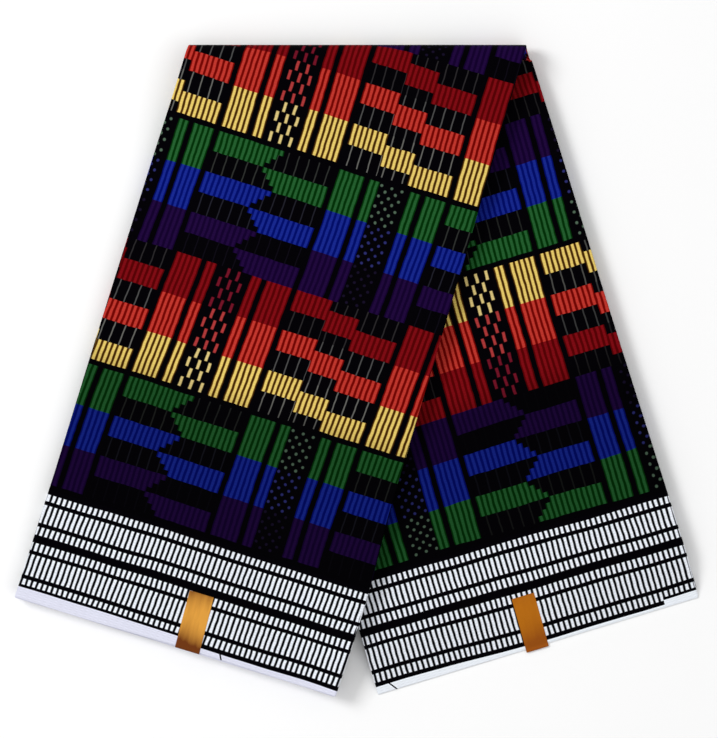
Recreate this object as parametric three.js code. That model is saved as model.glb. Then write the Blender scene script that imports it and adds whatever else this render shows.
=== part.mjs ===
// Wax print cotton, as a shop lays it out: a four yard cut of 46 inch cloth, pleated to and fro into a strip
// twelve layers deep, and the strip folded over once, so that its two ends splay like the legs of an A.
// The left leg lies on the right one near the top fold, and comes down to the table beside it.
// X runs along the top fold, Y up the legs towards it and Z up from the table. Sizes are in millimetres.

import * as THREE from 'three';

// The outline from above
const FOLD_LINE = 315; // length of the top fold
const LEG_SPREAD = 632; // from one outer hem corner to the other
const OUTER_DROP = 514; // from the top fold down to an outer hem corner
const INNER_DROP = 604; // from the top fold down to an inner hem corner
const HEM_GAP = 39; // between the two inner hem corners

// The cloth
const STRIP_WIDTH = 306; // of the pleated strip, halfway down a leg
const SHEET = 1; // thickness of one layer
const LAYER_GAP = 0.3; // air between two layers
const LEG_GAP = 0.4; // air between the two legs
const LANDING = 70; // how far beside the lower leg the upper one reaches the table

// The pleats' edges in order, from the outermost layer's cut edge to the innermost layer's.
// inset is how far an edge stops short of the strip's side.
const EDGES = [
  { side: 'left', inset: 0.4 },
  { side: 'right', inset: 0 },
  { side: 'left', inset: 1.2 },
  { side: 'right', inset: 1 },
  { side: 'left', inset: 0.2 },
  { side: 'right', inset: 0.4 },
  { side: 'left', inset: 1.6 },
  { side: 'right', inset: 1.3 },
  { side: 'left', inset: 0.7 },
  { side: 'right', inset: 0.6 },
  { side: 'left', inset: 1 },
  { side: 'right', inset: 0 },
  { side: 'left', inset: 0 },
];

// How far each layer's front hem reaches past the outermost layer's, from the outermost layer in.
const HEM_REACH = [0, 0.9, 0.4, 1.3, 0.7, 1.5, 1, 1.7, 0.8, 1.4, 1.9, 1.2];

// The hem labels: bare gold foil bands across the printed border
const LABELS = [
  { name: 'front_label', leg: 'front', width: 22, length: 54, fromOuterSide: 164, pastHem: 0.5 },
  { name: 'back_label', leg: 'back', width: 22, length: 50, fromOuterSide: 156, pastHem: 2 },
];
const LABEL_THICKNESS = 0.5;
const LABEL_SEAT = 0.3; // between a label and the cloth under it

const LAYERS = EDGES.length - 1;
const PITCH = SHEET + LAYER_GAP;
const STACK = LAYERS * PITCH - LAYER_GAP; // one leg's thickness
const INNER_RADIUS = LEG_GAP / 2;
const OUTER_RADIUS = INNER_RADIUS + STACK; // of the top fold
const TURN_RADIUS = PITCH / 2 + SHEET / 2; // outside of a pleat's fold
const LIFT = OUTER_RADIUS + INNER_RADIUS; // of the upper leg over the lower one
const SPLAY = Math.atan((LEG_SPREAD - FOLD_LINE) / 2 / OUTER_DROP);

// A longer way round the top fold leaves the outer layers shorter at the back hem.
const HEM_STEP = (Math.PI * PITCH) / Math.cos(SPLAY);
const TABLE_END = 0.5; // how far the lowest layer reaches past the crease where the others come down
const WEDGE = (LAYERS - 1) * HEM_STEP + TABLE_END;

const FRONT_STATIONS = 9;
const BACK_STATIONS = 3;
const FOLD_STATIONS = 8;
const TURN_STEPS = 3;
const LANDING_RIBS = [1, 0.7, 0.45, 0.22, 0]; // shares of LANDING, from the table up to the lower leg
const RIB_SPACE = 0.02; // least space between two ribs, as a share of the strip's width
const HALVINGS = 20;

const mix = (a, b, share) => a + (b - a) * share;
const clamp = (value, low, high) => Math.min(high, Math.max(low, value));
const ease = (share) => {
  const s = clamp(share, 0, 1);
  return s * s * (3 - 2 * s);
};

// Where the strip's lengthwise line at this share of its width, from its left side, meets the top fold and
// a hem.
const onFold = (across) => ({ x: mix(-FOLD_LINE / 2, FOLD_LINE / 2, across), y: 0 });
function onHem(leg, across) {
  const inward = leg === 'front' ? across : 1 - across;
  const x = mix(LEG_SPREAD / 2, HEM_GAP / 2, inward);
  return { x: leg === 'front' ? -x : x, y: -mix(OUTER_DROP, INNER_DROP, inward) };
}

// A point in plan, so far down that line from the top fold.
function downLeg(leg, across, drop) {
  const top = onFold(across);
  const hem = onHem(leg, across);
  const share = drop / -hem.y;
  return { x: mix(top.x, hem.x, share), y: -drop };
}

// How far a plan point lies outside the lower leg's left side, on which the upper leg rests.
function besideLowerLeg(point) {
  const top = onFold(0);
  const hem = onHem('back', 0);
  const length = Math.hypot(hem.x - top.x, hem.y - top.y);
  return ((point.x - top.x) * (hem.y - top.y) - (point.y - top.y) * (hem.x - top.x)) / length;
}

const sag = (point) => LIFT * ease(besideLowerLeg(point) / LANDING);

// The strip's stations from the front hem over the top fold to the back hem. Each gives a point of the strip
// its place, from its share of the width, its height above the strip's inner face and its layer, 0 being the
// outermost.
function frontStation(share) {
  return (across, height, layer) => {
    const hem = onHem('front', across);
    const reach = mixRows(HEM_REACH, layer) * Math.cos(SPLAY);
    const point = downLeg('front', across, mix(OUTER_RADIUS, -hem.y + reach, share));
    return [point.x, point.y, LIFT + height - sag(point)];
  };
}

function foldStation(angle) {
  const drop = OUTER_RADIUS * (1 - Math.sin(angle));
  const leg = angle < Math.PI / 2 ? 'front' : 'back';
  return (across, height) => {
    const point = downLeg(leg, across, drop);
    const radius = INNER_RADIUS + height;
    const lowered = leg === 'front' ? sag(point) : 0;
    const y = radius * Math.sin(angle) - OUTER_RADIUS;
    const z = radius * Math.cos(angle) + OUTER_RADIUS;
    return [point.x, y, z - lowered];
  };
}

function backStation(share) {
  return (across, height) => {
    const hem = onHem('back', across);
    const point = downLeg('back', across, mix(OUTER_RADIUS, -hem.y - WEDGE * Math.cos(SPLAY), share));
    return [point.x, point.y, STACK - height];
  };
}

// At the back hem each layer ends on the table, a step short of the layer over it.
function backHem(across, height, layer) {
  const hem = onHem('back', across);
  const point = downLeg('back', across, -hem.y - (LAYERS - 1 - layer) * HEM_STEP * Math.cos(SPLAY));
  return [point.x, point.y, STACK - height - layer * PITCH];
}

// A table's value between two rows, for the points of a pleat's fold, which lie between two layers.
function mixRows(table, row) {
  const low = Math.floor(row);
  return mix(table[low], table[Math.min(low + 1, table.length - 1)], row - low);
}

const stations = [];
for (let i = 0; i < FRONT_STATIONS; i += 1) {
  stations.push({ place: frontStation(1 - i / FRONT_STATIONS), slopes: true });
}
for (let i = 0; i <= FOLD_STATIONS; i += 1) {
  stations.push({ place: foldStation((Math.PI * i) / FOLD_STATIONS), slopes: i <= FOLD_STATIONS / 2 });
}
for (let i = 1; i <= BACK_STATIONS; i += 1) {
  stations.push({ place: backStation(i / BACK_STATIONS), slopes: false });
}
stations.push({ place: backHem, slopes: false });

// Shares of the width at which a station's layers are divided. On the upper leg they follow its slope to the
// table, and each is found by halving. On the lower leg they are even.
function ribShares(station) {
  const count = LANDING_RIBS.length;
  return LANDING_RIBS.map((share, i) => {
    if (!station.slopes) return (i + 1) / (count + 1);
    let low = 0;
    let high = 1;
    for (let halving = 0; halving < HALVINGS; halving += 1) {
      const middle = (low + high) / 2;
      const [x, y] = station.place(middle, 0, 0);
      if (besideLowerLeg({ x, y }) > share * LANDING) low = middle;
      else high = middle;
    }
    return clamp(low, RIB_SPACE * (i + 1), 1 - RIB_SPACE * (count - i));
  });
}

// The section's ribs at a station: each crosses the sheet, from its printed face to its back.
function sectionRibs(shares) {
  const ribs = [];
  const add = (layer, width, height, [outX, outY]) => {
    ribs.push({
      layer,
      face: { width: width + outX, height: height + outY },
      back: { width: width - outX, height: height - outY },
    });
  };
  for (let layer = 0; layer < LAYERS; layer += 1) {
    const rightward = layer % 2 === 0;
    const height = STACK - SHEET / 2 - layer * PITCH;
    const up = rightward ? SHEET / 2 : -SHEET / 2;
    const start = sideOf(layer);
    const end = sideOf(layer + 1);
    const inner = shares.map((share) => share * STRIP_WIDTH);
    for (const width of [start, ...(rightward ? inner : inner.reverse()), end]) {
      add(layer, width, height, [0, up]);
    }
    if (layer === LAYERS - 1) continue;
    const way = rightward ? 1 : -1;
    for (let step = 1; step < TURN_STEPS; step += 1) {
      const turn = Math.PI / 2 - (Math.PI * step) / TURN_STEPS;
      const width = end + (way * PITCH * Math.cos(turn)) / 2;
      const middle = height - PITCH / 2 + (PITCH * Math.sin(turn)) / 2;
      const outward = [(SHEET * Math.cos(turn)) / 2, (way * SHEET * Math.sin(turn)) / 2];
      add(layer + step / TURN_STEPS, width, middle, outward);
    }
  }
  return ribs;
}

// Where a layer's flat part stops: at its cut edge, or where its pleat's fold begins.
function sideOf(edge) {
  const cut = edge === 0 || edge === LAYERS;
  const inset = EDGES[edge].inset + (cut ? 0 : TURN_RADIUS);
  return EDGES[edge].side === 'left' ? inset : STRIP_WIDTH - inset;
}

// A closed mesh from rows of vertices and faces. Its faces are turned outwards.
function solid(vertices, faces) {
  const corner = (i) => new THREE.Vector3(...vertices[i]);
  let volume = 0;
  for (const [a, b, c] of faces) volume += corner(a).dot(corner(b).cross(corner(c)));
  const index = volume > 0 ? faces.flat() : faces.flatMap(([a, b, c]) => [a, c, b]);
  const geometry = new THREE.BufferGeometry();
  geometry.setAttribute('position', new THREE.Float32BufferAttribute(vertices.flat(), 3));
  geometry.setIndex(index);
  geometry.computeVertexNormals();
  return geometry;
}

// Rings of points in pairs, one ring for each station, skinned all round and closed at both ends.
function skinned(rings) {
  const vertices = [];
  const faces = [];
  const pairs = rings[0].length;
  const at = (ring, pair, side) => (ring * pairs + pair) * 2 + side;
  const quad = (a, b, c, d) => faces.push([a, b, c], [a, c, d]);
  for (const ring of rings) {
    for (const pair of ring) vertices.push(...pair);
  }
  for (let ring = 0; ring < rings.length - 1; ring += 1) {
    const next = ring + 1;
    for (let pair = 0; pair < pairs - 1; pair += 1) {
      quad(at(ring, pair, 0), at(ring, pair + 1, 0), at(next, pair + 1, 0), at(next, pair, 0));
      quad(at(ring, pair, 1), at(next, pair, 1), at(next, pair + 1, 1), at(ring, pair + 1, 1));
    }
    const last = pairs - 1;
    quad(at(ring, 0, 0), at(next, 0, 0), at(next, 0, 1), at(ring, 0, 1));
    quad(at(ring, last, 0), at(ring, last, 1), at(next, last, 1), at(next, last, 0));
  }
  const end = rings.length - 1;
  for (let pair = 0; pair < pairs - 1; pair += 1) {
    quad(at(0, pair, 0), at(0, pair, 1), at(0, pair + 1, 1), at(0, pair + 1, 0));
    quad(at(end, pair, 0), at(end, pair + 1, 0), at(end, pair + 1, 1), at(end, pair, 1));
  }
  return solid(vertices, faces);
}

// The cloth, in one piece from its first cut edge to its last
function clothGeometry() {
  const rings = stations.map((station) => {
    const { place } = station;
    return sectionRibs(ribShares(station)).map(({ layer, face, back }) =>
      [face, back].map(({ width, height }) => place(width / STRIP_WIDTH, height, layer)),
    );
  });
  return skinned(rings);
}

// A hem label: a foil band that lies along its leg, from past the hem up over the border
function labelGeometry({ leg, width, length, fromOuterSide, pastHem }) {
  const stops = leg === 'front' ? [-pastHem, length] : [-pastHem, 0, WEDGE, length];
  const rings = stops.map((fromHem) =>
    [-width / 2, width / 2].map((aside) => {
      const fromSide = (fromOuterSide + aside) / STRIP_WIDTH;
      const across = leg === 'front' ? fromSide : 1 - fromSide;
      const drop = -onHem(leg, across).y - fromHem * Math.cos(SPLAY);
      const point = downLeg(leg, across, drop);
      const fall = leg === 'front' ? 0 : (STACK - SHEET) * (1 - clamp(fromHem / WEDGE, 0, 1));
      const under = STACK - fall + LABEL_SEAT;
      return [
        [point.x, point.y, under],
        [point.x, point.y, under + LABEL_THICKNESS],
      ];
    }),
  );
  return skinned(rings);
}

function named(name, geometry, finish) {
  const mesh = new THREE.Mesh(geometry, new THREE.MeshStandardMaterial(finish));
  mesh.name = name;
  return mesh;
}

const WAX_PRINT = { color: 0x16131c, roughness: 0.72, metalness: 0 };
const GOLD_FOIL = { color: 0xc07d1e, roughness: 0.38, metalness: 0.8 };

const fabric = new THREE.Group();
fabric.add(named('cloth', clothGeometry(), WAX_PRINT));
for (const label of LABELS) {
  fabric.add(named(label.name, labelGeometry(label), GOLD_FOIL));
}

// The origin is on the table, in the middle of the outline.
const outline = new THREE.Box3().setFromObject(fabric);
const middle = outline.getCenter(new THREE.Vector3());
fabric.position.set(-middle.x, -middle.y, -outline.min.z);

export default fabric;
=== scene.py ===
import math

import bpy
import numpy as np
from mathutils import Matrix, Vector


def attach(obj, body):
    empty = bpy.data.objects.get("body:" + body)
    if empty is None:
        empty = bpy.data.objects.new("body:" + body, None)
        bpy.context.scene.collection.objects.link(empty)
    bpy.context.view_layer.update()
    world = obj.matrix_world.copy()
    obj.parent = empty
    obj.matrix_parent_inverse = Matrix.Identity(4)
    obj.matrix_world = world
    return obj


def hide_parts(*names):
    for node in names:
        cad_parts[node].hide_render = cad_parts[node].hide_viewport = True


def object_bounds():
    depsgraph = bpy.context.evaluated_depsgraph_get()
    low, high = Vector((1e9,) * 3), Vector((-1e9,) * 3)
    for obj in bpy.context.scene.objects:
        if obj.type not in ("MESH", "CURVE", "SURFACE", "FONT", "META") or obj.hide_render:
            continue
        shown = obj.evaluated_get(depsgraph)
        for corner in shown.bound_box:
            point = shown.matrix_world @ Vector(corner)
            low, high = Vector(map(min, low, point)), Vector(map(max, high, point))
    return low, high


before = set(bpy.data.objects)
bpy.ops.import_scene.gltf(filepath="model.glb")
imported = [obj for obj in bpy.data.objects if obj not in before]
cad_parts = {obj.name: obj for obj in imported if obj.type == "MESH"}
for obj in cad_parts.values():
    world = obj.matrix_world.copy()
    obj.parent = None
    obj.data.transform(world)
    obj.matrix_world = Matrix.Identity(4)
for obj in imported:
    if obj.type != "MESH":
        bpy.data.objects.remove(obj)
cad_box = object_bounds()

# The view
# The cloth is seen from straight above, square to its top fold. One pixel of the 718 by 738 picture is
# 0.93 mm on the cloth, and the top fold lies 45 pixels under the picture's top edge.
PIXEL = 0.00093
PICTURE_WIDTH = 718
PICTURE_HEIGHT = 738
FOLD_ROW = 45
MIDDLE_COLUMN = 357
CAMERA_HEIGHT = 3.5
SENSOR = 36.0
FOLD_Y = float(cad_box[1][1])

camera = bpy.data.objects.new("camera", bpy.data.cameras.new("camera"))
bpy.context.collection.objects.link(camera)
camera.location = (
    (PICTURE_WIDTH / 2 - MIDDLE_COLUMN) * PIXEL,
    FOLD_Y - (PICTURE_HEIGHT / 2 - FOLD_ROW) * PIXEL,
    CAMERA_HEIGHT,
)
camera.data.sensor_fit = "HORIZONTAL"
camera.data.sensor_width = SENSOR
camera.data.lens = SENSOR * CAMERA_HEIGHT / (PICTURE_WIDTH * PIXEL)
bpy.context.scene.camera = camera

# The cloth
# Four yards of printed cotton, pleated to and fro across its length into a strip of twelve layers, which
# runs from selvedge to selvedge. The strip is folded over once along a slanting line, so that its legs
# splay. The left leg lies on the right one near the top fold, and sinks to the table beside it.
FOLD_LINE = 0.315  # length of the top fold
LEG_SPREAD = 0.632  # between the outer hem corners
HEM_GAP = 0.039  # between the inner hem corners
OUTER_DROP = 0.514  # from the top fold down to an outer hem corner
INNER_DROP = 0.604  # from the top fold down to an inner hem corner
STRIP_WIDTH = 0.306
LAYERS = 12
SHEET = 0.001  # thickness of a layer
PITCH = 0.0013  # from a layer to the next
LEG_GAP = 0.0004  # between the two legs
LANDING = 0.070  # how far beside the lower leg the upper one reaches the table
TABLE_END = 0.0005  # how far the lowest layer reaches past the crease where the others come down
STACK = LAYERS * PITCH - (PITCH - SHEET)
FOLD_RADIUS = LEG_GAP / 2 + STACK
LIFT = FOLD_RADIUS + LEG_GAP / 2
SPLAY = math.atan((LEG_SPREAD - FOLD_LINE) / 2 / OUTER_DROP)
HEM_STEP = math.pi * PITCH / math.cos(SPLAY)
WEDGE = (LAYERS - 1) * HEM_STEP + TABLE_END

# How far short of the strip's side each pleat's edge stops, from the outermost layer's cut edge to the
# innermost one's, and how far each layer's front hem reaches past the outermost one's, in metres
EDGE_INSETS = np.array([0.4, 0, 1.2, 1, 0.2, 0.4, 1.6, 1.3, 0.7, 0.6, 1, 0, 0]) / 1000
HEM_REACH = np.array([0, 0.4, 0.2, 0.6, 0.3, 0.7, 0.5, 0.8, 0.4, 0.7, 0.9, 0.6]) / 1000
EDGE_WANDER = 0.0005  # how far a pleat's edge strays to either side along the strip
HEM_WANDER = 0.0006  # how far a layer's hem strays up and down across it
HEM_SKEW = 0.0016  # how much shorter the left leg is at its left side
RIPPLE = 0.0004  # height of the waves over the whole fold
CURL = 1.25  # how gently the layers start to come down at the back hem
PRESSED = 0.92  # depth of the top fold's half circles, which a hand has pressed a little flat
FRONT_FLARE = 0.0024  # how far the left leg's outer side has spread by the hem
BACK_FLARE = 0.0030  # and the right leg's
FOLD_TUCK = 0.0018  # how far the left side is drawn in at the top fold
TUCK_SHARE = 0.21  # of a leg's length, down which the tuck ends
BULGE = {"most": 0.0026, "at": 0.86, "over": 0.09}  # in the left leg's inner side, in shares of its length

RIBS = 22  # across a layer
TURN_RIBS = 6  # round a pleat's edge
LEG_STATIONS = 34
FOLD_STATIONS = 18
WEDGE_STATIONS = 8
EDGE_BAND = 0.0007  # the rounded rim along a cut edge or hem


def mixed(low, high, share):
    """The place at a share of the way from low to high."""
    return low + (high - low) * share


def eased(share):
    """Three s squared less two s cubed, between 0 and 1."""
    s = np.clip(share, 0, 1)
    return s * s * (3 - 2 * s)


def leg_line(leg, across):
    """A leg's lengthwise line at a share of its width: x at the top fold, x at the hem and the drop to it."""
    inward = across if leg == "front" else 1 - across
    hem_x = mixed(LEG_SPREAD / 2, HEM_GAP / 2, inward)
    return (
        mixed(-FOLD_LINE / 2, FOLD_LINE / 2, across),
        -hem_x if leg == "front" else hem_x,
        mixed(OUTER_DROP, INNER_DROP, inward),
    )


def down_leg(leg, across, drop):
    """x at a drop from the top fold, on the straight line to the hem, and the length left to the hem."""
    fold_x, hem_x, hem_drop = leg_line(leg, across)
    slant = np.hypot(hem_x - fold_x, hem_drop) / hem_drop
    return mixed(fold_x, hem_x, drop / hem_drop), (hem_drop - drop) * slant


def sunk(x, y):
    """How far the upper leg has come down: an eased step over LANDING, beside the lower leg's left side."""
    fold_x, hem_x, hem_drop = leg_line("back", 0.0)
    run = hem_x - fold_x
    beside = ((x - fold_x) * -hem_drop - y * run) / math.hypot(run, hem_drop)
    return LIFT * eased(beside / LANDING)


def front_place(across, height, layer, share):
    """The upper leg: straight lines in plan from fold to hem, at their height less how far they have sunk.

    Each layer's hem reaches by its own length and by a sine across it, and less towards the left side.
    """
    _, _, hem_drop = leg_line("front", across)
    own_reach = np.interp(layer, np.arange(LAYERS), HEM_REACH)
    wander = HEM_WANDER * np.sin(9 * across + 1.7 * layer)
    reach = own_reach + wander - HEM_SKEW * (1 - across)
    drop = mixed(FOLD_RADIUS, hem_drop + reach * math.cos(SPLAY), share)
    x, to_hem = down_leg("front", across, drop)
    return x, -drop, LIFT + height - sunk(x, -drop), to_hem


def fold_place(across, height, angle):
    """The top fold: half circles about one line, each of its layer's radius, with the run to both hems."""
    drop = FOLD_RADIUS * (1 - np.sin(angle))
    front_x, _ = down_leg("front", across, drop)
    back_x, _ = down_leg("back", across, drop)
    over = angle < math.pi / 2
    x = np.where(over, front_x, back_x)
    radius = height + LEG_GAP / 2
    y = radius * PRESSED * np.sin(angle) - FOLD_RADIUS
    z = FOLD_RADIUS + radius * np.cos(angle) - np.where(over, sunk(x, -drop), 0)
    _, front_run = down_leg("front", across, FOLD_RADIUS)
    _, back_run = down_leg("back", across, FOLD_RADIUS)
    return x, y, z, front_run + FOLD_RADIUS * angle, back_run + FOLD_RADIUS * (math.pi - angle)


def back_place(across, height, share):
    """The lower leg's flat part, on straight lines in plan from the fold to the crease before the hem."""
    _, _, hem_drop = leg_line("back", across)
    drop = mixed(FOLD_RADIUS, hem_drop - WEDGE * math.cos(SPLAY), share)
    x, to_hem = down_leg("back", across, drop)
    return x, -drop, STACK - height + 0 * drop, to_hem


def wedge_place(across, height, layer, share):
    """The back hem: each layer comes down from the crease by a power of its share of the way to its end."""
    _, _, hem_drop = leg_line("back", across)
    from_hem = WEDGE - share * (layer * HEM_STEP + TABLE_END)
    drop = hem_drop - from_hem * math.cos(SPLAY)
    x, to_hem = down_leg("back", across, drop)
    return x, -drop, STACK - height - layer * PITCH * share**CURL, to_hem


def rippled(x, y, z):
    """A place with three broad low waves added to its height, in full above one leg and none at the table."""
    wave = np.sin(31 * x + 12 * y) + 0.7 * np.sin(17 * x - 43 * y + 1.1) + 0.5 * np.sin(71 * x + 22 * y + 2.3)
    return x, y, z + RIPPLE * (wave + 2.2) / 2.2 * np.clip(z / STACK, 0, 1)


def spread_out(down, front):
    """How far a leg's left and right sides have spread, by its share of the way down.

    Its outer side spreads by a square and the left leg's inner side by a bell. The left sides are tucked in
    at the fold.
    """
    tuck = FOLD_TUCK * (1 - eased(down / TUCK_SHARE))
    bell = BULGE["most"] * np.exp(-(((down - BULGE["at"]) / BULGE["over"]) ** 2))
    return np.where(front, FRONT_FLARE * down**2, 0) - tuck, np.where(front, bell, BACK_FLARE * down**2)


# The print
# Lines of wax resist lie one thread apart, in a repeat of forty six. Rows of striped blocks run across
# them, warm and cool in turn, each with three colours of eight threads, and a black thread lies under each
# warm row. The cloth is pleated a little askew, so that the lines drift across each leg.
BORDER = 0.1050  # from a hem up to the border's upper side
THREAD = 0.004913
REPEAT = 46  # threads
FIRST_LINE = 0.0567  # from a leg's outer side to the first line's middle
FIRST_ROW = 0.2325  # from the front hem to the first warm row
ZONE = 8  # threads of one colour
ROW = 3 * ZONE
PAIR = 2 * ROW + 1  # a warm row, the cool row over it and the black thread
PAIRS = 4  # from the first warm row to the border at the back hem
BACK_SCALE = 0.992  # the print is stretched a little on the right leg
BACK_START = 1.2997  # where the print starts at the back hem
LAST_REPEAT = 15  # at the innermost layer's outer side, so that both faces that show have the same lines
PRINTED_LAYER = LAST_REPEAT / (LAYERS - 1) * REPEAT * THREAD

# How far the lines have drifted towards a leg's outer side, and how far they have spread inwards for each
# metre from it. Both change by an eased step up the leg, from a height over the hem.
FRONT_DRIFT = {"most": 0.0193, "from_hem": 0.49, "over": 0.38}
FRONT_SPREAD = {"fold": 0.0057, "more": 0.006}
BACK_DRIFT = {"all": 0.0015, "more": 0.005, "from_hem": 0.30, "over": 0.18}
BACK_SPREAD = {"most": 0.024, "from_hem": 0.15, "over": 0.48}
# The print steps from a leg's left side to its right: how high it lies at both, and where the step starts
# and how wide it is, in shares of the leg's width, for the border's lowest line, its highest and the rows
FRONT_STEPS = [
    {"left": 0.0007, "right": -0.0013, "from": 0.37, "over": 0.28},
    {"left": 0.0007, "right": -0.0009, "from": 0.30, "over": 0.40},
    {"left": 0.0006, "right": -0.0028, "from": 0, "over": 1},
]
BACK_STEPS = [
    {"left": 0.0007, "right": -0.0034, "from": 0.08, "over": 0.40},
    {"left": 0.0025, "right": -0.0018, "from": 0.22, "over": 0.85},
    {"left": -0.0011, "right": 0.0005, "from": 0, "over": 0.60},
]
ROWS = 0.15  # from a hem up to where the rows lie by their own step


def front_print(printed, to_hem):
    """The print across the left leg: by an eased step down the leg it drifts outwards and spreads inwards."""
    from_side = np.clip(printed, 0, PRINTED_LAYER)
    down = eased((FRONT_DRIFT["from_hem"] - to_hem) / FRONT_DRIFT["over"])
    spread = (FRONT_SPREAD["fold"] + FRONT_SPREAD["more"] * down) * from_side
    return printed + FRONT_DRIFT["most"] * down - spread


def back_print(printed, to_hem):
    """The print across the right leg: it drifts outwards by the fold, and spreads inwards by the hem."""
    from_side = np.clip(printed - (LAYERS - 1) * PRINTED_LAYER, 0, None)
    up = eased((to_hem - BACK_DRIFT["from_hem"]) / BACK_DRIFT["over"])
    drift = BACK_DRIFT["all"] + BACK_DRIFT["more"] * up
    spread = BACK_SPREAD["most"] * (1 - eased((to_hem - BACK_SPREAD["from_hem"]) / BACK_SPREAD["over"]))
    return printed + drift - spread * from_side


def strayed(across, to_hem, steps):
    """How far the print has strayed up the leg: the lowest line's step, eased into those of the next two."""
    low, high, rows = (
        mixed(step["left"], step["right"], eased((across - step["from"]) / step["over"])) for step in steps
    )
    border = mixed(low, high, eased(to_hem / BORDER))
    return mixed(border, rows, eased((to_hem - BORDER) / (ROWS - BORDER)))


def strip_section(along, left_spread, right_spread):
    """The pleated section at each station: the middle of the sheet and half its thickness outwards.

    Flat ribs lie evenly between two edges, each pleat's edge is a half circle, and the edges wander by two
    sines. Each point also has its place in the print across the unrolled cloth, and its layer.
    """
    parts = []
    edge = np.arange(LAYERS + 1)
    slow = EDGE_WANDER * np.sin(along[:, None] * 9 + edge * 2.1)
    quick = EDGE_WANDER / 2 * np.sin(along[:, None] * 23 + edge * 4.7)
    side_spread = np.where(edge % 2 == 0, left_spread[:, None], right_spread[:, None])
    stop = EDGE_INSETS + EDGE_WANDER + (slow + quick) - side_spread
    inner = np.linspace(0, 1, RIBS)
    rim = EDGE_BAND / STRIP_WIDTH
    flat = np.concatenate([[0, rim], inner[1:-1], [1 - rim, 1]])
    turn_radius = (PITCH + SHEET) / 2
    turn = np.pi * np.arange(1, TURN_RIBS) / TURN_RIBS
    for layer in range(LAYERS):
        way = 1 if layer % 2 == 0 else -1
        start, end = stop[:, layer], stop[:, layer + 1]
        start = start + (turn_radius if layer > 0 else 0)
        end = end + (turn_radius if layer < LAYERS - 1 else 0)
        left, right = (start, STRIP_WIDTH - end) if way == 1 else (end, STRIP_WIDTH - start)
        first, last = (left, right) if way == 1 else (right, left)
        width = mixed(first[:, None], last[:, None], flat)
        height = np.full_like(width, STACK - SHEET / 2 - layer * PITCH)
        aside = width if way == 1 else STRIP_WIDTH - width
        printed = layer * PRINTED_LAYER + aside / STRIP_WIDTH * PRINTED_LAYER
        out_x = np.zeros_like(width)
        parts.append((width, height, out_x, out_x + way * SHEET / 2, printed, np.full_like(width, layer)))
        if layer == LAYERS - 1:
            continue
        width = last[:, None] + way * PITCH / 2 * np.sin(turn)
        height = STACK - SHEET / 2 - layer * PITCH - PITCH / 2 * (1 - np.cos(turn)) + 0 * width
        out_x = np.sin(turn) * SHEET / 2 + 0 * width
        out_z = way * np.cos(turn) * SHEET / 2 + 0 * width
        printed = (layer + 1) * PRINTED_LAYER + PITCH / 2 * (turn - np.pi / 2) + 0 * width
        parts.append((width, height, out_x, out_z, printed, layer + turn / np.pi + 0 * width))
    return [np.concatenate(rows, axis=1) for rows in zip(*parts)]


def around_sheet(face, back):
    """Values round a sheet's section: along its face, and the other way along its back."""
    return np.concatenate([face, back[:, ::-1]], axis=1)


def tube_quads(rings, around):
    """Quads between neighbouring rings of as many points each, and across the two ends, from pair to pair."""
    ring, spot = np.meshgrid(np.arange(rings - 1), np.arange(around), indexing="ij")
    after = (spot + 1) % around
    sides = np.stack([ring * around + spot, ring * around + after, (ring + 1) * around + after], axis=-1)
    sides = np.concatenate([sides, ((ring + 1) * around + spot)[..., None]], axis=-1).reshape(-1, 4)
    pair = np.arange(around // 2 - 1)
    end = np.stack([pair + 1, pair, around - 1 - pair, around - 2 - pair], axis=-1)
    return np.concatenate([sides, end, end[:, ::-1] + (rings - 1) * around])


def as_mesh(name, points, quads, corners):
    """A mesh from points, quads turned outwards by the volume's sign, and their corners' print places."""
    a, b, c, d = (points[quads[:, i]] for i in range(4))
    volume = np.sum(a * np.cross(b, c)) + np.sum(a * np.cross(c, d))
    if volume < 0:
        quads, corners = quads[:, ::-1], corners[:, ::-1]
    mesh = bpy.data.meshes.new(name)
    mesh.from_pydata(points.tolist(), [], quads.tolist())
    print_map = mesh.uv_layers.new(name="print")
    print_map.data.foreach_set("uv", np.ascontiguousarray(corners, dtype=np.float32).ravel())
    mesh.shade_smooth()
    mesh.update()
    piece = bpy.data.objects.new(name, mesh)
    bpy.context.collection.objects.link(piece)
    return piece


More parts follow.
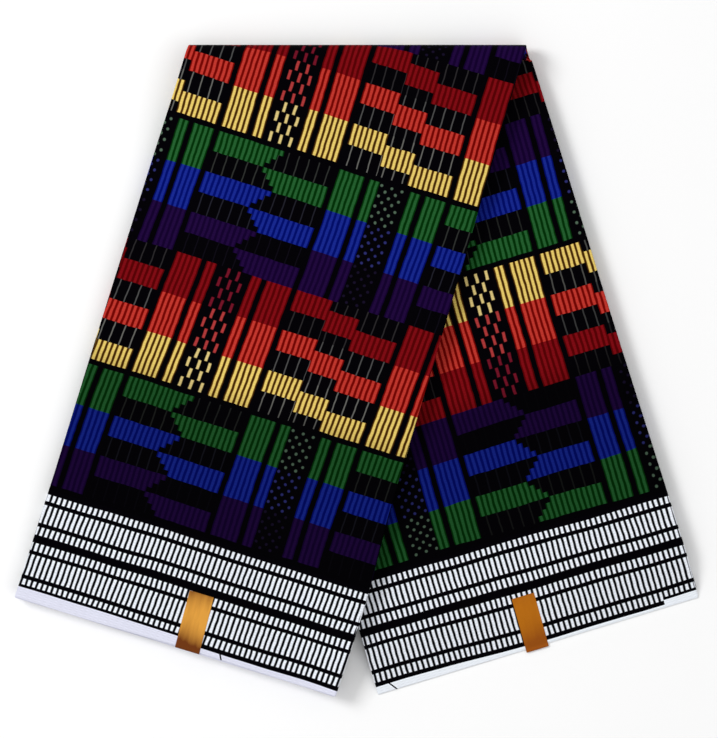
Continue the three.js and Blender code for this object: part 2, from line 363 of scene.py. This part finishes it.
def pleated_cloth():
    """The section carried along the strip: a ring of points for each station, from the front to the back hem.

    The print starts anew where the top fold turns under, so each quad takes its places from its own start.
    """
    rim = EDGE_BAND / OUTER_DROP
    front = 1 - np.concatenate([[0, rim], np.linspace(0, 1, LEG_STATIONS)[1:]])
    fold = np.linspace(0, math.pi, FOLD_STATIONS + 1)[1:]
    back = np.linspace(0, 1, LEG_STATIONS)[1:]
    wedge = np.concatenate([np.linspace(0, 1, WEDGE_STATIONS)[1:-1], [1 - EDGE_BAND / WEDGE, 1]])
    counts = np.cumsum([len(front), len(fold), len(back), len(wedge)])
    down = np.concatenate([front, 0 * fold, back, 0 * wedge + 1])
    spreads = spread_out(down, np.arange(counts[-1]) < counts[0])
    section = strip_section(np.linspace(0, OUTER_DROP + INNER_DROP, counts[-1]), *spreads)
    width, height, out_x, out_z, printed, layer = section
    across = around_sheet(width + out_x, width - out_x) / STRIP_WIDTH
    height = around_sheet(height + out_z, height - out_z)
    printed = around_sheet(printed, printed)
    layer = around_sheet(layer, layer)
    legs = [slice(low, high) for low, high in zip([0, *counts[:-1]], counts)]
    rows = [(across[leg], height[leg], layer[leg]) for leg in legs]
    front_x, front_y, front_z, front_run = front_place(*rows[0], front[:, None])
    fold_x, fold_y, fold_z, over_run, under_run = fold_place(*rows[1][:2], fold[:, None])
    back_x, back_y, back_z, back_run = back_place(*rows[2][:2], back[:, None])
    wedge_x, wedge_y, wedge_z, wedge_run = wedge_place(*rows[3], wedge[:, None])
    x, y, z = rippled(
        np.concatenate([front_x, fold_x, back_x, wedge_x]),
        np.concatenate([front_y, fold_y, back_y, wedge_y]),
        np.concatenate([front_z, fold_z, back_z, wedge_z]),
    )
    points = np.stack([x, y + FOLD_Y, z], axis=-1).reshape(-1, 3)
    quads = tube_quads(*across.shape)

    from_front = np.concatenate([front_run, over_run, 0 * back_run, 0 * wedge_run])
    from_back = np.concatenate([0 * front_run, under_run, back_run, wedge_run])
    front_along = from_front - strayed(across, from_front, FRONT_STEPS)
    back_along = BACK_START - BACK_SCALE * (from_back - strayed(across, from_back, BACK_STEPS))
    front_places = np.stack([front_print(printed, from_front), front_along], axis=-1)
    back_places = np.stack([back_print(printed, from_back), back_along], axis=-1)
    anew = counts[0] + FOLD_STATIONS * 5 // 8
    station = (quads // across.shape[1]).min(axis=1)[:, None, None]
    front_corners, back_corners = (places.reshape(-1, 2)[quads] for places in (front_places, back_places))
    return as_mesh("wax_print", points, quads, np.where(station >= anew, back_corners, front_corners))


class Value:
    """A number that changes over a surface. An expression on such values adds its Math nodes."""

    def __init__(self, finish, socket):
        self.finish = finish
        self.socket = socket

    def math(self, operation, *others):
        node = self.finish.node("ShaderNodeMath", {"operation": operation}, dict(enumerate([self, *others])))
        return Value(self.finish, node.outputs[0])

    def __add__(self, other):
        return self.math("ADD", other)

    def __mul__(self, other):
        return self.math("MULTIPLY", other)

    def __sub__(self, other):
        return self.math("SUBTRACT", other)

    def __truediv__(self, other):
        return self.math("DIVIDE", other)

    def __rsub__(self, other):
        return self * -1 + other

    __radd__ = __add__
    __rmul__ = __mul__

    def floor(self):
        return self.math("FLOOR")

    def fract(self):
        return self.math("FRACT")

    def distance(self, other):
        return (self - other).math("ABSOLUTE")

    def over(self, limit):
        return self.math("GREATER_THAN", limit)

    def under(self, limit):
        return self.math("LESS_THAN", limit)

    def least(self, other):
        return self.math("MINIMUM", other)

    def most(self, other):
        return self.math("MAXIMUM", other)

    def between(self, low, high):
        return self.math("COMPARE", (low + high) / 2, (high - low) / 2)

    def within(self, limit, blur):
        """1 under the limit and 0 over it, with a soft edge."""
        settings = {"interpolation_type": "SMOOTHSTEP"}
        inputs = {0: self, 1: limit - blur, 2: limit + blur, 3: 1.0, 4: 0.0}
        node = self.finish.node("ShaderNodeMapRange", settings, inputs)
        return Value(self.finish, node.outputs[0])


class Finish:
    """A material made of nodes, for one finish of the cloth or what is on it."""

    def __init__(self, name):
        self.material = bpy.data.materials.new(name)
        self.material.use_nodes = True
        self.tree = self.material.node_tree
        self.tree.nodes.clear()

    def node(self, kind, settings, inputs):
        node = self.tree.nodes.new(kind)
        for name, value in settings.items():
            setattr(node, name, value)
        for name, value in inputs.items():
            source = value.socket if isinstance(value, Value) else value
            if isinstance(source, bpy.types.NodeSocket):
                self.tree.links.new(source, node.inputs[name])
            else:
                node.inputs[name].default_value = source
        return node

    def value(self, socket):
        return Value(self, socket)

    def print_place(self):
        """The place in the print map, whole and as its numbers across and along."""
        place = self.node("ShaderNodeUVMap", {"uv_map": "print"}, {}).outputs[0]
        parts = self.node("ShaderNodeSeparateXYZ", {}, {0: place}).outputs
        return place, self.value(parts[0]), self.value(parts[1])

    def mix(self, first, second, share):
        inputs = {0: share, 6: first, 7: second}
        return self.node("ShaderNodeMix", {"data_type": "RGBA"}, inputs).outputs[2]

    def scaled(self, colour, share):
        """A colour times a share, the same for its red, green and blue."""
        inputs = {0: colour, "Scale": share}
        return self.node("ShaderNodeVectorMath", {"operation": "SCALE"}, inputs).outputs[0]

    def stretched(self, place, share):
        """The place with its way along the cloth shortened, so that a pattern on it is drawn out that way."""
        return self.node("ShaderNodeMapping", {}, {0: place, 3: (1, share, 1)}).outputs[0]

    def speckle(self, place, scale, detail):
        """Noise from 0 to 1 about 0.5, at so many waves in a metre."""
        inputs = {"Vector": place, "Scale": scale, "Detail": detail}
        return self.value(self.node("ShaderNodeTexNoise", {}, inputs).outputs[0])

    def surface(self, inputs):
        """The material, once its surface has these values."""
        shader = self.node("ShaderNodeBsdfPrincipled", {}, inputs)
        self.node("ShaderNodeOutputMaterial", {}, {0: shader.outputs[0]})
        return self.material


def dye(red, green, blue):
    """A colour given as it looks, from 0 to 255, turned to the linear values that nodes take."""
    share = np.array([red, green, blue]) / 255
    linear = np.where(share <= 0.04045, share / 12.92, ((share + 0.055) / 1.055) ** 2.4)
    return (*linear.tolist(), 1.0)


def dyes(line, between, fine, mark):
    """A zone's colours: thick lines, the ground between them, fine lines beside blocks, and small marks."""
    return {"line": dye(*line), "between": dye(*between), "fine": dye(*fine), "mark": dye(*mark)}


GROUND = dye(2, 1, 4)
WHITE = dye(230, 234, 242)
BARE_WHITES = [dye(238, 243, 250), dye(217, 218, 234)]  # of the selvedge at the back and at the front hem
# The three zones of a warm and of a cool row, from the front side
WARM_ZONES = [
    dyes((225, 196, 103), (68, 37, 2), (100, 100, 96), (212, 190, 122)),
    dyes((186, 52, 43), (110, 3, 1), (76, 76, 76), (166, 54, 54)),
    dyes((121, 10, 18), (82, 1, 3), (41, 39, 41), (108, 18, 36)),
]
COOL_ZONES = [
    dyes((30, 7, 57), (18, 1, 42), (12, 9, 18), (21, 14, 36)),
    dyes((22, 38, 136), (1, 11, 100), (32, 32, 41), (42, 44, 104)),
    dyes((34, 90, 44), (1, 46, 5), (46, 48, 46), (78, 100, 82)),
]
# Widths in threads: half a thick line, half a fine line, half a dash of two threads, and a dot's radius
LINE_HALF = 0.26
FINE_HALF = 0.11
DASH_HALF = 0.45
DOT_RADIUS = 0.27
# Which of the repeat's lines make plain stripes, first and one past the last
WARM_STRIPES = [(0, 5), (6, 8), (15, 17), (18, 23)]
COOL_STRIPES = [(24, 29), (30, 32), (38, 40), (41, 45)]
# Bars of the warm rows, with the threads that each lies above its colour's start
WARM_BARS = [
    {"first": 24, "end": 31, "raised": 4, "fine_lines": "odd"},
    {"first": 31, "end": 37, "raised": 2, "fine_lines": "even"},
    {"first": 37, "end": 45, "raised": 0, "fine_lines": "even"},
]
BAR = 4  # threads from a bar's lower side to its upper one
# The lines of the dashes, of the dots, and of two facing arrows, each with the line where it starts to narrow
DASHES = (9, 14)
DOTS = (32, 37)
LEFT_ARROW = {"first": 0, "end": 13, "narrows": 9}
RIGHT_ARROW = {"first": 10, "end": 23, "narrows": 13}
ARROWS_MEET = 11.5
# Painted shade: how much darker the rows are up to a height over the hem, and their fine lines there.
# And how much dimmer the right leg's fine lines are everywhere.
HEM_SHADE_AND_DIMMING = {"height": 0.236, "blur": 0.016, "all": 0.34, "fine_lines": 0.36, "back_fine_lines": 0.5}
# The border's six bands of bars, from the hem
BORDER_BARS = [
    (0.0107, 0.0190),
    (0.0228, 0.0431),
    (0.0466, 0.0542),
    (0.0617, 0.0695),
    (0.0733, 0.0905),
    (0.0943, 0.1007),
]
# How far inwards the front border's bars lie: at the hem, and more for each metre from it and inwards
BAR_LEAN = {"at_hem": -0.0015, "for_hem": 0.054, "for_side": -0.006}
BARE = 0.0065  # from the hem up to the selvedge's bare white strip's end
# Where the bare strip is wider, as a distance from each hem's outer side, and how much further from the hem
# the strip ends and the first bars start there
WIDER = {"front": 0.181, "back": 0.031, "strip": 0.0044, "bars": 0.0028}
TICKS = [(0.2152, 0.5), ((LAYERS - 1) * PRINTED_LAYER + 0.2850, -0.7)]  # place across and lean of each
TICK_HALF = 0.0008  # half a tick's width
YARN = 0.0006  # from one yarn to the next
RIB = 0.0024  # from one faint rib across a thick line to the next


def either(masks):
    total = masks[0]
    for mask in masks[1:]:
        total = total.most(mask)
    return total


def warm_masks(slot_at, slot, thread_at, in_zone, in_line, fine):
    """Stripes and bars in three steps, the fine lines between, and a column of staggered dashes."""
    block = either([slot_at.between(first, end) for first, end in WARM_STRIPES])
    fine_lines = []
    for bar in WARM_BARS:
        here = slot_at.between(bar["first"], bar["end"])
        in_bar = in_zone.between(bar["raised"], bar["raised"] + BAR)
        block = block.most(here * in_bar)
        fine_lines.append(here * (1 - in_bar) * fine[bar["fine_lines"]])
    dash_row = (thread_at / 2).floor()
    staggered = ((slot + dash_row) / 2).fract().over(0.25)
    dash_length = (thread_at / 2).fract().distance(0.5).within(DASH_HALF, 0.04)
    dashes = slot_at.between(*DASHES) * staggered * dash_length * in_line
    return block, either(fine_lines), dashes


def cool_masks(slot_at, slot, thread_at, in_zone, from_line, fine):
    """Stripes and two facing arrows of bars in each colour, fine lines, and a column of chequered dots."""
    block = either([slot_at.between(first, end) for first, end in COOL_STRIPES])
    left, right = LEFT_ARROW, RIGHT_ARROW
    left_side = in_zone.over((slot - left["narrows"]).most(0) + BAR)
    right_side = in_zone.over((right["narrows"] - slot).most(0)) * in_zone.under(BAR)
    block = block.most(slot_at.between(left["first"], left["end"]) * left_side)
    block = block.most(slot_at.between(right["first"], right["end"]) * right_side)
    left_fine = slot_at.between(left["first"] + 0.5, ARROWS_MEET) * in_zone.under(BAR) * fine["odd"]
    right_fine = slot_at.between(ARROWS_MEET, right["end"] - 0.5) * in_zone.over(BAR) * fine["even"]
    chequered = ((slot + thread_at.floor()) / 2).fract().over(0.25)
    from_thread = thread_at.fract().distance(0.5)
    from_dot = (from_line * from_line + from_thread * from_thread).math("SQRT")
    dots = slot_at.between(*DOTS) * chequered * from_dot.within(DOT_RADIUS, 0.08)
    return block, left_fine.most(right_fine) * (1 - block), dots


def printed_rows(finish, line_at, row_at, hem, front):
    """The rows' colours on the black ground, from places in threads both ways, and the thick lines' mask."""
    slot_at = (line_at / REPEAT).fract() * REPEAT
    slot = slot_at.floor()
    from_line = slot_at.fract().distance(0.5)
    in_line = from_line.within(LINE_HALF, 0.09)
    pair_at = (row_at / PAIR).fract() * PAIR
    warm = pair_at.under(ROW)
    thread_at = pair_at - (1 - warm) * ROW
    zone = (thread_at / ZONE).floor()
    in_zone = thread_at - zone * ZONE
    in_row = thread_at.under(ROW) * row_at.between(ROW - PAIR, PAIRS * PAIR)
    from_odd = (slot_at / 2).fract().distance(0.5) * 2
    fine = {"odd": from_odd.within(FINE_HALF, 0.06), "even": (1 - from_odd).within(FINE_HALF, 0.06)}
    warm_parts = warm_masks(slot_at, slot, thread_at, in_zone, in_line, fine)
    cool_parts = cool_masks(slot_at, slot, thread_at, in_zone, from_line, fine)
    block, fine_lines, marks = (
        (warm_part * warm).most(cool_part * (1 - warm)) * in_row
        for warm_part, cool_part in zip(warm_parts, cool_parts)
    )

    def zone_colour(part):
        rows = []
        for zones in (COOL_ZONES, WARM_ZONES):
            colour = finish.mix(zones[0][part], zones[1][part], zone.over(0.5))
            rows.append(finish.mix(colour, zones[2][part], zone.over(1.5)))
        return finish.mix(rows[0], rows[1], warm)

    colour = finish.mix(GROUND, zone_colour("fine"), fine_lines)
    colour = finish.mix(colour, zone_colour("mark"), marks)
    colour = finish.mix(colour, zone_colour("between"), block)
    colour = finish.mix(colour, zone_colour("line"), block * in_line)
    # Painted shade: the rows, and their fine lines more, are darker up to a height over the hem; the right
    # leg's fine lines are dimmer everywhere
    low = hem.within(HEM_SHADE_AND_DIMMING["height"], HEM_SHADE_AND_DIMMING["blur"])
    kept = 1 - low * (HEM_SHADE_AND_DIMMING["all"] + fine_lines * HEM_SHADE_AND_DIMMING["fine_lines"])
    kept = kept * (1 - fine_lines * (1 - front) * HEM_SHADE_AND_DIMMING["back_fine_lines"])
    return finish.scaled(colour, kept), in_line


def bordered(finish, colour, across, hem, front, in_line):
    """The colour with the border over it: white bars in six bands, and the bare selvedge with its ticks."""
    bands = either([hem.between(low, high) for low, high in BORDER_BARS])
    bars = finish.mix(GROUND, WHITE, bands * in_line)
    front_wider = front * across.under(WIDER["front"])
    back_wider = (1 - front) * across.distance(LAST_REPEAT * REPEAT * THREAD).under(WIDER["back"])
    wider = front_wider.most(back_wider)
    bars = finish.mix(bars, GROUND, hem.under(BORDER_BARS[0][0] + wider * WIDER["bars"]))
    bare = finish.mix(*BARE_WHITES, front)
    border = finish.mix(bars, bare, hem.under(BARE + wider * WIDER["strip"]))
    ticks = either([(across - at + hem * lean).distance(0).under(TICK_HALF) for at, lean in TICKS])
    border = finish.mix(border, GROUND, ticks * hem.under(BARE))
    return finish.mix(colour, border, hem.under(BORDER))


def wax_print_finish():
    """The print, worked out in threads across and along the strip, on cotton with fine yarns both ways."""
    finish = Finish("wax_print")
    place, across, along = finish.print_place()

    # The hand of the printer: the lines waver, and drift over a greater length
    waver = finish.speckle(place, 120, 1) - 0.5
    drift = finish.speckle(place, 14, 1) - 0.5
    stray = finish.speckle(place, 90, 1) - 0.5
    sway = finish.speckle(place, 11, 1) - 0.5
    hem = along.least((BACK_START - along) / BACK_SCALE) + sway * 0.0035
    front = along.under(BACK_START / 2)
    lean = hem * BAR_LEAN["for_hem"] + across * BAR_LEAN["for_side"] + BAR_LEAN["at_hem"]
    lean = lean * front * hem.under(BORDER)
    line_at = (across - lean - FIRST_LINE) / THREAD + 0.5 + waver * 0.22 + drift * 0.5
    row_at = (along - FIRST_ROW) / THREAD + stray * 0.25 + sway * 0.6
    colour, in_line = printed_rows(finish, line_at, row_at, hem, front)
    colour = bordered(finish, colour, across, hem, front, in_line)

    # The cotton's yarns are a little uneven in thickness and in how they took the dye
    warp = (across * (2 * math.pi / YARN)).math("SINE")
    weft = (along * (2 * math.pi / YARN)).math("SINE")
    weave = warp * weft
    took = finish.speckle(place, 260, 3)
    patch = finish.speckle(place, 9, 3)
    rib = (along * (2 * math.pi / RIB) + stray * 6).math("SINE")
    shade = 0.88 + took * 0.14 + patch * 0.08 + weave * 0.03 + rib * in_line * 0.06
    slub = finish.speckle(finish.stretched(place, 0.05), 900, 1)
    relief = weave * 0.6 + slub * 0.6 + took * 0.5
    bump = finish.node("ShaderNodeBump", {}, {"Strength": 0.25, "Distance": 0.0001, "Height": relief})
    inputs = {
        "Base Color": finish.scaled(colour, shade),
        "Roughness": 0.7 + patch * 0.12 + took * 0.08,
        "Normal": bump.outputs[0],
        "Specular IOR Level": 0.015,
    }
    return finish.surface(inputs)


cloth = pleated_cloth()
cloth.data.materials.append(wax_print_finish())
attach(cloth, "root")
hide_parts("cloth")

# The hem labels
# Two bare bands of gold foil, stuck across the border at the legs' hems. Each follows the cloth under it,
# the right one 3 mm past the hem. A painted highlight makes its foil brightest some way up from the hem
# and darker towards the ends.
FOIL = 0.0003  # thickness
FOIL_SEAT = 0.00015  # from the cloth under it
FOIL_RIM = 0.02  # share of a band's width and length where its rim is
RIM_HEIGHT = 0.7  # of the foil's thickness
FOIL_HIGHLIGHT_AT = 0.033  # from the hem to where a band's painted highlight is brightest
LABEL_ROWS = 40
LABEL_COLUMNS = 14
# Past is how far a band reaches beyond the hem, side its distance from the leg's outer side, and lean how
# far it leans outwards for each metre up the leg
# Finish gives each band's material name, its colour at the painted highlight, and its colour away from it
LABELS = [
    {
        "node": "front_label",
        "leg": "front",
        "width": 0.0230,
        "length": 0.0545,
        "past": 0,
        "side": 0.1637,
        "lean": 0.035,
        "finish": ("gold_foil_front", dye(224, 158, 62), dye(110, 52, 4)),
    },
    {
        "node": "back_label",
        "leg": "back",
        "width": 0.0212,
        "length": 0.0498,
        "past": 0.003,
        "side": 0.1535,
        "lean": 0.01,
        "finish": ("gold_foil_back", dye(182, 106, 0), dye(152, 78, 0)),
    },
]


def foil_band(label):
    """A thin slab over the leg's upper face: an even grid across and along, a little lower at its sides."""
    across_inner = np.linspace(0, 1, LABEL_COLUMNS)[1:-1]
    along_inner = np.linspace(0, 1, LABEL_ROWS)[1:-1]
    across = np.concatenate([[0, FOIL_RIM], across_inner, [1 - FOIL_RIM, 1]]) - 0.5
    along = np.concatenate([[0, FOIL_RIM], along_inner, [1 - FOIL_RIM, 1]])
    from_hem = mixed(-label["past"], label["length"], along)[:, None]
    from_side = (label["side"] + across * label["width"] - label["lean"] * from_hem) / STRIP_WIDTH
    share = from_side if label["leg"] == "front" else 1 - from_side
    _, _, hem_drop = leg_line(label["leg"], share)
    drop = hem_drop - from_hem * math.cos(SPLAY)
    x, _ = down_leg(label["leg"], share, drop)
    if label["leg"] == "front":
        z = LIFT + STACK - sunk(x, -drop)
    else:
        down = np.clip((WEDGE - from_hem) / WEDGE, 0, 1) ** CURL
        z = STACK - (STACK - SHEET) * down + 0 * x
    x, y, z = rippled(x, -drop, z)
    full = np.ones(len(across))
    full[[0, -1]] = 0
    under = z + FOIL_SEAT
    top = under + FOIL * mixed(RIM_HEIGHT, 1, full)
    points = np.stack([around_sheet(x, x), around_sheet(y, y) + FOLD_Y, around_sheet(top, under)], axis=-1)
    u = across * label["width"] + 0 * x
    v = from_hem + 0 * x
    corners = np.stack([around_sheet(u, u), around_sheet(v, v)], axis=-1).reshape(-1, 2)
    quads = tube_quads(len(along), 2 * len(across))
    return as_mesh(label["node"] + "_foil", points.reshape(-1, 3), quads, corners[quads])


def gold_foil_finish(name, light, dark):
    """Foil brushed along the band, with a painted highlight: darker by the square of the way from its
    brightest place, and crinkled.
    """
    finish = Finish(name)
    place, across, along = finish.print_place()
    streak = finish.speckle(finish.stretched(place, 0.12), 260, 2)
    crinkle = finish.speckle(place, 190, 3)
    # The painted highlight: brightest at a height over the hem, darker away from it and a little towards one
    # side
    away = along.distance(FOIL_HIGHLIGHT_AT) / FOIL_HIGHLIGHT_AT
    share = (away * away * 1.5 + streak * 0.5 - 0.22 - across * 10).most(0).least(1)
    relief = crinkle + streak
    bump = finish.node("ShaderNodeBump", {}, {"Strength": 0.35, "Distance": 0.0003, "Height": relief})
    inputs = {
        "Base Color": finish.mix(light, dark, share),
        "Metallic": 0.4,
        "Specular IOR Level": 0.2,
        "Roughness": 0.36 + crinkle * 0.2,
        "Normal": bump.outputs[0],
    }
    return finish.surface(inputs)


for label in LABELS:
    band = foil_band(label)
    band.data.materials.append(gold_foil_finish(*label["finish"]))
    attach(band, "root")
    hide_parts(label["node"])

# The table
# A plain pale table top under soft studio light, which is no part of the cloth. A broad lamp hangs over its
# left side and a weaker one over its right, and pale light comes from all round.
TABLE_SIZE = 24.0
TABLE_UNDER = 0.0003  # how far its top lies under the cloth
PALE_LIGHT = 0.617
LAMPS = [
    {"name": "broad_lamp", "place": (-2.1, 0.95, 2.35), "size": 1.2, "watts": 55.4},
    {"name": "fill_lamp", "place": (1.6, -1.1, 3.0), "size": 2.6, "watts": 18.0},
]


def table_finish():
    inputs = {"Base Color": (0.95, 0.95, 0.95, 1), "Roughness": 0.8, "Specular IOR Level": 0.2}
    return Finish("table").surface(inputs)


table = bpy.data.objects.new("table", bpy.data.meshes.new("table"))
table_sides = [(-1, -1), (1, -1), (1, 1), (-1, 1)]
table_corners = [(x * TABLE_SIZE / 2, y * TABLE_SIZE / 2, -TABLE_UNDER) for x, y in table_sides]
table.data.from_pydata(table_corners, [], [(0, 1, 2, 3)])
table.data.materials.append(table_finish())
bpy.context.collection.objects.link(table)

for lamp in LAMPS:
    light = bpy.data.lights.new(lamp["name"], "AREA")
    light.size = lamp["size"]
    light.energy = lamp["watts"]
    holder = bpy.data.objects.new(lamp["name"], light)
    holder.location = lamp["place"]
    aim = -np.array(lamp["place"])
    tilt = math.acos(-aim[2] / np.linalg.norm(aim))
    holder.rotation_euler = (tilt, 0, math.atan2(aim[1], aim[0]) - math.pi / 2)
    bpy.context.collection.objects.link(holder)

world = bpy.data.worlds.new("studio")
world.use_nodes = True
background = world.node_tree.nodes["Background"]
background.inputs["Color"].default_value = (1, 1, 1, 1)
background.inputs["Strength"].default_value = PALE_LIGHT
bpy.context.scene.world = world
bpy.context.scene.view_settings.view_transform = "Standard"
